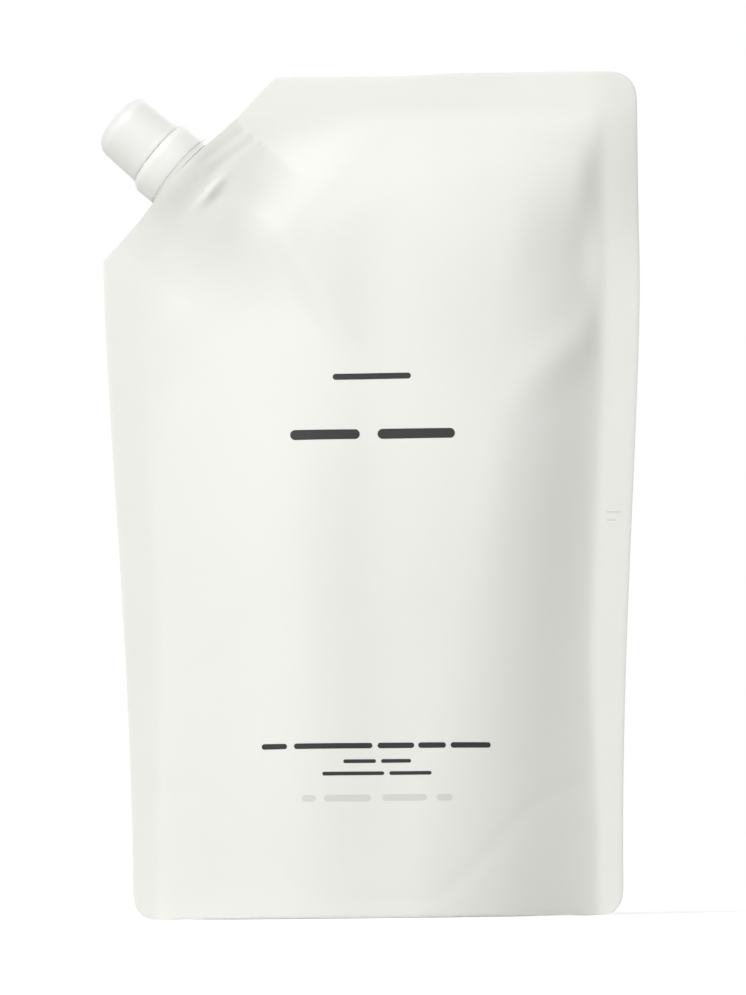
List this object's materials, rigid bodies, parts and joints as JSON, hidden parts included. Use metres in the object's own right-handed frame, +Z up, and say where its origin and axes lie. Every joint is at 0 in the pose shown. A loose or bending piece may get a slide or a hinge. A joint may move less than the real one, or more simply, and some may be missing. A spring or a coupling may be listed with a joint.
{
  "type": "hand soap refill pack",
  "caption": "White stand-up refill pouch for liquid hand soap, with a welded corner spout, tamper ring and screw cap.",
  "frame": {"origin": "on the ground under the middle of the pack: half way between the side seals, in the plane of the seals", "axes": "+Z up, front panel faces -Y, spout at the upper left on -X"},
  "size_m": [0.1508, 0.0564, 0.235],
  "materials": {
    "film": "white laminated film, satin matt",
    "spout_plastic": "moulded polyethylene, natural white, satin",
    "cap_plastic": "moulded polypropylene, white, soft gloss",
    "foam": "closed-cell polyethylene foam, matt"
  },
  "bodies": {
    "pack": {"pouch": "film", "spout": "spout_plastic", "tamper_ring": "cap_plastic"},
    "liner": {"sealing_disc": "foam"},
    "cap": {"cap": "cap_plastic"}
  },
  "joints": [
    {"name": "cap_lift", "type": "slide", "parent": "pack", "child": "liner", "axis": [-0.7547, 0, 0.6561], "range_m": [0, 0.0076]},
    {"name": "cap_turn", "type": "hinge", "parent": "liner", "child": "cap", "pos_m": [-0.05237, 0, 0.20717], "axis": [-0.7547, 0, 0.6561], "range_deg": [0, 900]}
  ],
  "couplings": [
    {"joint": "cap_lift", "follows": "cap_turn", "m_per_rad": 0.00047746}
  ]
}
